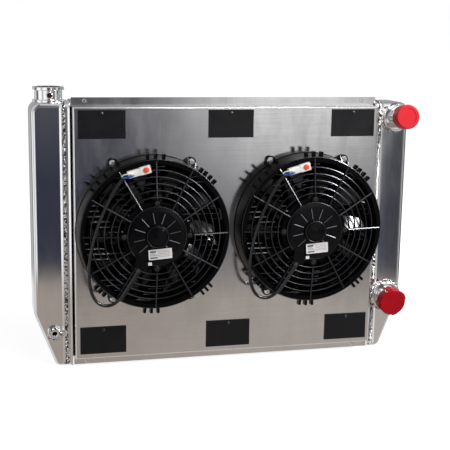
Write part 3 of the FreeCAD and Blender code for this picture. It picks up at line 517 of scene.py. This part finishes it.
def make_flap_sheets():
    """Each flap is one rubber sheet, riveted along the top, that bends where it leaves the rivet strip."""
    for number in range(1, 7):
        body = "flap_%d" % number
        low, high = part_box(body)
        top = high.z + FLAP_TOP_STRIP
        xs = spread(low.x, high.x, FLAP_EDGE, FLAP_GRID[0])
        zs = spread(low.z, top, FLAP_EDGE, FLAP_GRID[1])
        points = []
        for front in (True, False):
            for z in zs:
                for x in xs:
                    share = (x - low.x) / (high.x - low.x)
                    drop = max(0.0, (high.z - z) / (high.z - low.z))
                    curl = noise.noise(Vector((number * 5.3, share * 2.0, 0.5))) * 0.5 + 0.5
                    lift = (FLAP_LIFT + FLAP_CURL * curl) * MM * drop ** 2
                    at_rim = x in (xs[0], xs[-1]) or z in (zs[0], zs[-1])
                    y = low.y - lift if front else high.y - lift
                    if at_rim:
                        y += FLAP_EDGE if front else -FLAP_EDGE
                    points.append((x, y, z))
        across = len(xs)
        layer = across * len(zs)
        faces = []
        for j in range(len(zs) - 1):
            for i in range(across - 1):
                a = j * across + i
                faces.append((a, a + 1, a + 1 + across, a + across))
                faces.append((a + layer, a + layer + across, a + layer + across + 1, a + layer + 1))
        rim = list(range(across)) + [j * across + across - 1 for j in range(1, len(zs))]
        rim += [(len(zs) - 1) * across + i for i in range(across - 2, -1, -1)]
        rim += [j * across for j in range(len(zs) - 2, 0, -1)]
        for a, b in zip(rim, rim[1:] + rim[:1]):
            faces.append((b, a, a + layer, b + layer))
        sheet = mesh_piece("flap_sheet_%d" % number, points, faces, None, "flap_rubber")
        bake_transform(sheet)
        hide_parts(body, "flap_top_strips")


CONNECTOR_TILT = math.radians(15.3)
CONNECTOR_LENGTH = 40.0
BUTTON_FROM_END = 7.8
BUTTON_SIDEWAYS = 0.9
# The button's profile, as (radius, forward of the connector's middle) in millimetres
BUTTON_PROFILE = ((4.9, 5.4), (4.9, 6.8), (4.5, 7.15), (1.6, 7.3), (0.2, 7.3))
BUTTON_STEPS = 28
# Each wire's name, radius and sideways place on the connector, in millimetres
WIRES = (("blue_wire", 1.9, -2.4), ("pale_wire", 1.2, 2.2))
# A wire's route into the connector, as (along, share of its sideways place, forward)
WIRE_ROUTE = ((-11.0, 0.4, 0.6), (-7.0, 1.2, 2.5), (-3.0, 1.3, 4.5), (2.0, 1.0, 6.7), (7.5, 1.0, 6.6),
              (9.0, 1.0, 4.0))


def connector_point(side, along, sideways, forward):
    """A point on the lead's connector: along its body, up across it and forward of its middle."""
    across, up, depth = LEAD_ROUTE[-1]
    cosine, sine = math.cos(CONNECTOR_TILT), math.sin(CONNECTOR_TILT)
    return fan_point(side, across + along * cosine - sideways * sine, up + along * sine + sideways * cosine,
                     depth + forward)


def lathe(name, profile, place, steps, body, finish):
    """A solid turned from (radius, along) points; place maps (across, up, along) to the row frame."""
    points = []
    for radius, along in profile:
        for k in range(steps):
            angle = 2 * math.pi * k / steps
            points.append(place(radius * math.cos(angle), radius * math.sin(angle), along))
    faces = []
    for ring in range(len(profile) - 1):
        for k in range(steps):
            a = ring * steps + k
            b = ring * steps + (k + 1) % steps
            faces.append((a, b, b + steps, a + steps))
    faces.append(tuple(range(steps - 1, -1, -1)))
    faces.append(tuple(range(len(points) - steps, len(points))))
    return mesh_piece(name, points, faces, body, finish)


def make_lead_ends():
    """The wires between each sleeve and its connector, and the connector's round lock button."""
    for side in SIDES:
        for wire, radius, sideways in WIRES:
            route = [connector_point(side, along, sideways * share, forward)
                     for along, share, forward in WIRE_ROUTE]
            cord = spline_object(side + "_" + wire, route, radius * MM)
            cord.data.materials.append(material(wire))
            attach(cord, "root")
        middle_along = CONNECTOR_LENGTH - BUTTON_FROM_END
        lathe(side + "_lock_button", BUTTON_PROFILE,
              lambda a, b, c, side=side: connector_point(side, middle_along + a, b + BUTTON_SIDEWAYS, c),
              BUTTON_STEPS, "root", "orange_button")


LABEL_TILT = math.radians(-4.0)
LABEL_MIDDLE = (5.0, -31.0)
LABEL_FRONT = 60.5
INK_DEPTHS = (-0.02, 0.06)


def label_bar(left, right, bottom, top):
    """The eight corners of a printed bar, in millimetres from the label's middle."""
    cosine, sine = math.cos(LABEL_TILT), math.sin(LABEL_TILT)
    corners = []
    for depth in INK_DEPTHS:
        for x, z in ((left, bottom), (right, bottom), (right, top), (left, top)):
            corners.append((LABEL_MIDDLE[0] + x * cosine + z * sine, LABEL_MIDDLE[1] - x * sine + z * cosine,
                            LABEL_FRONT + depth))
    return corners


def make_label_print():
    """Plain printed bars on each motor's label, with no lettering."""
    dark_bars = [(-18.0, -7.0, 3.6, 6.6), (-18.0, -5.0, -6.8, -4.4)]
    for row in range(3):
        dark_bars.append((-18.0, -9.0 + 2.5 * row, 1.6 - 1.9 * row, 2.3 - 1.9 * row))
    pale_bars = [(-4.0, 17.5, 3.0 - 2.6 * row, 4.0 - 2.6 * row) for row in range(4)]
    pale_bars += [(-4.0 + 2.4 * k, -2.8 + 2.4 * k, 5.2, 7.4) for k in range(9)]
    for side in SIDES:
        for ink, bars in (("label_ink", dark_bars), ("pale_ink", pale_bars)):
            points = []
            faces = []
            for bar in bars:
                n = len(points)
                points += [fan_point(side, *corner) for corner in label_bar(*bar)]
                faces += [(n + 3, n + 2, n + 1, n), (n + 4, n + 5, n + 6, n + 7)]
                faces += [(n + k, n + (k + 1) % 4, n + 4 + (k + 1) % 4, n + 4 + k) for k in range(4)]
            mesh_piece(side + "_" + ink, points, faces, "root", ink, smooth=False)


DRAIN_RADIUS = 5.3 * MM
THREAD_TURNS = 5
THREAD_STEPS = 36
THREAD_PITCH = 1.41 * MM
THREAD_START = 0.7 * MM
# The ridge's section, as (inwards, along) in millimetres
THREAD_SECTION = ((-0.05, -0.62), (0.65, 0.0), (-0.05, 0.62))


def make_drain_thread():
    """The taper thread's ridge inside the drain bung."""
    front_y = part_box("drain_bung")[0].y
    centre = middle("drain_bung")
    points = []
    faces = []
    for k in range(THREAD_TURNS * THREAD_STEPS + 1):
        angle = 2 * math.pi * k / THREAD_STEPS
        y = front_y + THREAD_START + THREAD_PITCH * k / THREAD_STEPS
        for inward, along in THREAD_SECTION:
            reach = DRAIN_RADIUS - inward * MM
            points.append((centre.x + reach * math.cos(angle), y + along * MM,
                           centre.z + reach * math.sin(angle)))
    for k in range(THREAD_TURNS * THREAD_STEPS):
        for j in range(3):
            a = 3 * k + j
            b = 3 * k + (j + 1) % 3
            faces.append((a, b, b + 3, a + 3))
    end = 3 * THREAD_TURNS * THREAD_STEPS
    faces += [(2, 1, 0), (end, end + 1, end + 2)]
    mesh_piece("drain_thread", points, faces, "root", "machined_aluminium")


CREST_STEPS = 120
ROD_SIDES = 8
# Rings on the motor's cap and round the guard, as (radius, depth, thickness) in millimetres
CAP_RINGS = [(51.4, 58.0, 0.6), (18.6, 65.3, 0.5), (131.0, 45.6, 0.5)]
GUARD_RADII = (67.5, 79.0, 90.5, 102.0, 113.5)
RING_CREST = 0.9
RING_CREST_SINK = 0.25
# The guard's rim and hub, as (radius, depth) in millimetres
GUARD_RIM = (125.0, 46.0)
GUARD_HUB = (56.0, 57.0)
# The guard's spokes, where the ones over the motor's ears and the lead's channel start farther out
SPOKE_STEP = 30
CHANNEL_SPOKE = 210
SPOKE_START = 52.9
EAR_SPOKE_START = 64.9
SPOKE_END = 128.0
SPOKE_SINK = 0.5
# The crests of a spoke, as (sideways, stand, radius) in millimetres
PLAIN_RAILS = ((0.0, 0.6, 1.5),)
CHANNEL_RAILS = ((-5.0, 3.0, 0.9), (5.0, 3.0, 0.9))
CAP_RIB_START = 19
CAP_RIB_REACH = (22.4, 41.6)
CAP_RIB_DEPTH = 59.5
CAP_RIB_CREST = 0.9


def guard_depth(radius):
    """How far the domed guard stands off the shroud's face at a radius, as the CAD frame has it."""
    share = max(0.0, (GUARD_RIM[0] - radius) / (GUARD_RIM[0] - GUARD_HUB[0]))
    return GUARD_RIM[1] + (GUARD_HUB[1] - GUARD_RIM[1]) * share


def add_rod(points, faces, path, radius, closed=False):
    """Appends a round rod along a path of millimetre (across, up, depth) points."""
    first = len(points)
    count = len(path)
    for k, place in enumerate(path):
        before = path[(k - 1) % count] if closed or k else path[k]
        after = path[(k + 1) % count] if closed or k < count - 1 else path[k]
        along = (after - before).normalized()
        side = along.cross(Vector((0, 0, 1))).normalized()
        top = side.cross(along).normalized()
        for j in range(ROD_SIDES):
            angle = 2 * math.pi * j / ROD_SIDES
            points.append(place + (side * math.cos(angle) + top * math.sin(angle)) * radius)
    for k in range(count if closed else count - 1):
        ring = first + k * ROD_SIDES
        following = first + (k + 1) % count * ROD_SIDES
        for j in range(ROD_SIDES):
            beside = (j + 1) % ROD_SIDES
            faces.append((ring + j, ring + beside, following + beside, following + j))
    if not closed:
        faces.append(tuple(range(first + ROD_SIDES - 1, first - 1, -1)))
        faces.append(tuple(range(len(points) - ROD_SIDES, len(points))))


def clock_point(angle, radius, depth, sideways=0.0):
    """A (across, up, depth) point at an angle clockwise from straight up."""
    turned = math.radians(angle)
    return Vector((radius * math.sin(turned) + sideways * math.cos(turned),
                   radius * math.cos(turned) - sideways * math.sin(turned), depth))


def make_guard_crests():
    """The rounded crests of each guard's rings and spokes, and of the ribs on the motor's end cap."""
    for side in SIDES:
        points = []
        faces = []
        rings = [(radius, guard_depth(radius) - RING_CREST_SINK, RING_CREST) for radius in GUARD_RADII]
        for radius, depth, thickness in rings + CAP_RINGS:
            ring = [clock_point(360 * k / CREST_STEPS, radius, depth) for k in range(CREST_STEPS)]
            add_rod(points, faces, ring, thickness, closed=True)
        for angle in range(0, 360, SPOKE_STEP):
            start = EAR_SPOKE_START if angle % 90 == 0 or angle == CHANNEL_SPOKE else SPOKE_START
            for sideways, stand, radius in CHANNEL_RAILS if angle == CHANNEL_SPOKE else PLAIN_RAILS:
                crest = [clock_point(angle, reach, guard_depth(reach) + stand - SPOKE_SINK, sideways)
                         for reach in (start, SPOKE_END)]
                add_rod(points, faces, crest, radius)
        spots = [fan_point(side, *place) for place in points]
        mesh_piece(side + "_guard_crests", spots, faces, "root", "polished_edge")
        points = []
        faces = []
        for angle in range(CAP_RIB_START, CAP_RIB_START + 360, SPOKE_STEP):
            crest = [clock_point(angle, reach, CAP_RIB_DEPTH) for reach in CAP_RIB_REACH]
            add_rod(points, faces, crest, CAP_RIB_CREST)
        spots = [fan_point(side, *place) for place in points]
        mesh_piece(side + "_cap_rib_crests", spots, faces, "root", "worn_edge")


# Sections of the rolled edges, as (outwards, forwards) in millimetres from the edge that each one follows
LIP_SECTION = ((1.4, -0.6), (1.4, 0.3), (-2.0, 1.7), (-2.6, 1.0), (-2.6, -0.6))
RIDGE_SECTION = ((3.4, -0.5), (3.4, 0.05), (0.0, 1.5), (-0.9, 1.2), (-0.9, -0.5))
RIDGE_OFFSET = 7.8 * MM
LIP_FOOT = 2 * MM
RIDGE_FOOT = 8 * MM
# The black strips' depths behind the header's front, and their gaps to the panel's foot, top, header and
# edge; each strip is painted shade, a dark sheet in the gap beside the core
GAP_SHADE_DEPTH = (3.5 * MM, 7.5 * MM)
GAP_SHADE_FROM_FOOT = 20 * MM
GAP_SHADE_FROM_TOP = 16 * MM
GAP_SHADE_FROM_HEADER = 0.2 * MM
GAP_SHADE_UNDER_PANEL = 0.3 * MM


def edge_strip(name, path, low, high, outward, section):
    """A bright folded edge of one section, carried up the front of a tank, over its top and down its back."""
    points = []
    faces = []
    for place in path:
        out = from_tank(place, low, high).normalized()
        points += [place + Vector((outward * across * MM, 0, 0)) + out * rise * MM
                   for across, rise in section]
    count = len(section)
    for k in range(len(path) - 1):
        for j in range(count):
            a = k * count + j
            b = k * count + (j + 1) % count
            faces.append((a, b, b + count, a + count) if outward > 0 else (b, a, a + count, b + count))
    first = tuple(range(count))
    last = tuple(range(len(points) - count, len(points)))
    faces += [first[::-1], last] if outward > 0 else [first, last[::-1]]
    mesh_piece(name, points, faces, "root", "edge_aluminium", smooth=False)


def make_seam_edges():
    """Each header's rolled edge by the core, the tank's edge by the weld, and a black sheet of painted shade
    in the gap beside the core.
    """
    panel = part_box("fan_shroud_panel")
    for side in SIDES:
        low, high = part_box(side + "_tank")
        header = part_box(side + "_header")
        outward, inner, outer, panel_edge = ((-1, header[1].x, header[0].x, panel[0].x) if side == "left" else
                                             (1, header[0].x, header[1].x, panel[1].x))
        edge_strip(side + "_header_lip", seam_path(inner, low, high, LIP_FOOT),
                   low, high, outward, LIP_SECTION)
        edge_strip(side + "_tank_ridge", seam_path(outer + outward * RIDGE_OFFSET, low, high, RIDGE_FOOT),
                   low, high, outward, RIDGE_SECTION)
        # painted shade: a black sheet put in the gap between the header and the panel's edge
        ends = sorted((inner - outward * GAP_SHADE_FROM_HEADER, panel_edge + outward * GAP_SHADE_UNDER_PANEL))
        heights = (panel[0].z + GAP_SHADE_FROM_FOOT, panel[1].z - GAP_SHADE_FROM_TOP)
        corners = [(x, header[0].y + depth, z) for z in heights for depth in GAP_SHADE_DEPTH for x in ends]
        mesh_piece(side + "_gap_shade_sheet", corners,
                   [(0, 2, 3, 1), (4, 5, 7, 6), (0, 1, 5, 4), (2, 6, 7, 3), (0, 4, 6, 2), (1, 3, 7, 5)],
                   "root", "painted_shade_black", smooth=False)


# ---- Studio -------------------------------------------------------------------------------------------
# Tones round the horizon, as (degrees right of the front, level)
WALL_TONES = ((-180, 0.42), (-150, 0.42), (-140, 0.70), (-127, 0.75), (-118, 0.30), (-104, 0.12),
              (-96, 0.2), (-88, 1.1), (-63, 1.1), (-56, 0.5), (-48, 0.45), (-43, 1.05), (-16, 1.05),
              (-10, 0.2), (22, 0.06), (27, 0.10), (34, 0.38), (41, 0.12), (49, 0.10), (55, 0.75),
              (64, 0.85), (71, 0.10), (99, 0.09), (112, 0.42), (180, 0.42))
CEILING_TONES = ((-180, 0.38), (-110, 0.45), (-70, 0.8), (-35, 0.5), (-12, 0.14), (5, 0.16),
                 (13, 0.85), (28, 1.0), (60, 0.75), (100, 0.35), (180, 0.38))
# Straight ahead: a dim room and a tall softbox, each darker low down; then the floor's tones
ROOM_LOW, ROOM_HIGH = (0.040, 0.045, 0.068, 1.0), (0.10, 0.10, 0.115, 1.0)
SOFTBOX_LOW, SOFTBOX_HIGH = (0.20, 0.20, 0.215, 1.0), (1.1, 1.1, 1.11, 1.0)
FLOOR_LEFT, FLOOR_RIGHT = (0.40, 0.35, 0.31, 1.0), (0.50, 0.455, 0.42, 1.0)
FLOOR_FAR = (0.80, 0.79, 0.78, 1.0)
WHITE = (1.0, 1.0, 1.0, 1.0)


def make_world():
    """A white studio for the camera; the metal mirrors a dim room with walls, a softbox and a floor."""
    world = bpy.data.worlds.new("studio")
    bpy.context.scene.world = world
    world.use_nodes = True
    tree = world.node_tree
    tree.nodes.clear()

    def add(kind, **settings):
        node = tree.nodes.new(kind)
        for key, value in settings.items():
            setattr(node, key, value)
        return node

    def feed(socket, value):
        if isinstance(value, bpy.types.NodeSocket):
            tree.links.new(value, socket)
        else:
            socket.default_value = value

    def step(value, low, high):
        """0 below low, 1 above high, smooth between."""
        node = add("ShaderNodeMapRange", interpolation_type="SMOOTHSTEP")
        feed(node.inputs[0], value)
        node.inputs[1].default_value = low
        node.inputs[2].default_value = high
        return node.outputs[0]

    def maths(operation, first, second=0.0, third=0.0):
        node = add("ShaderNodeMath", operation=operation)
        for socket, value in zip(node.inputs, (first, second, third)):
            feed(socket, value)
        return node.outputs[0]

    def mixed(share, first, second):
        node = add("ShaderNodeMix", data_type="RGBA")
        for socket, value in zip((node.inputs[0], node.inputs[6], node.inputs[7]), (share, first, second)):
            feed(socket, value)
        return node.outputs[2]

    split = add("ShaderNodeSeparateXYZ")
    feed(split.inputs[0], add("ShaderNodeTexCoord").outputs["Generated"])
    across, away, up = split.outputs
    turn = maths("ARCTAN2", across, maths("MULTIPLY", away, -1.0))
    turn = maths("MULTIPLY", turn, 180 / math.pi)
    rise = maths("MULTIPLY", maths("ARCSINE", up), 180 / math.pi)

    def ramp(value, stops):
        """Grey levels placed round the horizon, in degrees right of the front."""
        node = add("ShaderNodeValToRGB")
        feed(node.inputs[0], maths("MULTIPLY_ADD", value, 1 / 360, 0.5))
        elements = node.color_ramp.elements
        for k, (degrees, level) in enumerate(stops):
            place = elements[k] if k < 2 else elements.new(1.0)
            place.position = 0.5 + degrees / 360
            place.color = (level, level, level * 1.015, 1.0)
        return node.outputs[0]

    # what stands round the part at its own height, and above it
    walls = ramp(turn, WALL_TONES)
    ceiling = ramp(turn, CEILING_TONES)
    # straight ahead: a dim room, and a tall softbox to the right of the camera
    room = mixed(step(rise, -9.5, -2.0), ROOM_LOW, ROOM_HIGH)
    box = maths("MULTIPLY", step(turn, 9.0, 16.0), maths("SUBTRACT", 1.0, step(turn, 22.2, 23.4)))
    box_tone = mixed(step(rise, -12.0, -2.0), SOFTBOX_LOW, SOFTBOX_HIGH)
    ahead = maths("MULTIPLY", step(turn, -14, -7), maths("SUBTRACT", 1.0, step(turn, 23.0, 25.0)))
    around = mixed(ahead, walls, mixed(box, room, box_tone))
    around = mixed(step(rise, -3, 9), around, ceiling)
    # the floor
    floor = mixed(step(turn, 2, 20), FLOOR_LEFT, FLOOR_RIGHT)
    near = maths("MULTIPLY", step(turn, -75, -40), maths("SUBTRACT", 1.0, step(turn, 40, 75)))
    floor = mixed(near, FLOOR_FAR, floor)
    room = mixed(step(rise, -14.6, -13.2), floor, around)
    seen = mixed(add("ShaderNodeLightPath").outputs["Is Camera Ray"], room, WHITE)
    background = add("ShaderNodeBackground")
    feed(background.inputs[0], seen)
    output = add("ShaderNodeOutputWorld")
    tree.links.new(background.outputs[0], output.inputs[0])


# Each light's name, place in metres from the shroud's middle at the hubs' height, size and watts
LIGHTS = (("key", (1.47, -1.2, 1.10), (0.35, 0.35), 70), ("top", (0.45, -1.1, 1.5), (0.5, 0.3), 12))


def make_light(name, place, aim, size, power):
    """A rectangular light at a place, turned towards its aim."""
    lamp = bpy.data.lights.new(name, "AREA")
    lamp.shape = "RECTANGLE"
    lamp.size, lamp.size_y = size
    lamp.energy = power
    holder = bpy.data.objects.new(name, lamp)
    bpy.context.scene.collection.objects.link(holder)
    holder.location = place
    holder.rotation_euler = (aim - place).to_track_quat("-Z", "Y").to_euler()


FLOOR_REACH = 30.0
FLOOR_PALE, FLOOR_PALER = (0.60, 0.60, 0.60, 1), (0.62, 0.62, 0.62, 1)
FLOOR_GLOW = 0.72


def make_floor():
    """A plain pale floor under the part, which the metal doesn't mirror and which lights nothing."""
    mesh = bpy.data.meshes.new("floor")
    corners = [(-FLOOR_REACH, -FLOOR_REACH, 0), (FLOOR_REACH, -FLOOR_REACH, 0),
               (FLOOR_REACH, FLOOR_REACH, 0), (-FLOOR_REACH, FLOOR_REACH, 0)]
    mesh.from_pydata(corners, [], [(0, 1, 2, 3)])
    floor = bpy.data.objects.new("floor", mesh)
    bpy.context.scene.collection.objects.link(floor)
    finish = Finish("studio_floor")
    speckle = finish.ranged(finish.noise(finish.place, 3.0, 3.0), 0.3, 0.7, 0.0, 1.0)
    finish.set(Base_Color=finish.mixed(speckle, FLOOR_PALER, FLOOR_PALE), Roughness=0.9,
               Emission_Color=WHITE, Emission_Strength=FLOOR_GLOW)
    mesh.materials.append(finish.material)
    floor.visible_glossy = False
    floor.visible_diffuse = False


def make_studio():
    """The surroundings, the floor and two soft lights."""
    make_world()
    make_floor()
    bpy.context.scene.view_settings.view_transform = "Standard"
    aim = Vector((0, FACE_Y, FAN_CENTRE["left"].z))
    for name, offset, size, power in LIGHTS:
        make_light(name, aim + Vector(offset), aim, size, power)


make_leads()
dress_cad_nodes()
make_fins()
make_welds()
make_flap_sheets()
make_lead_ends()
make_label_print()
make_drain_thread()
make_guard_crests()
make_seam_edges()
make_studio()
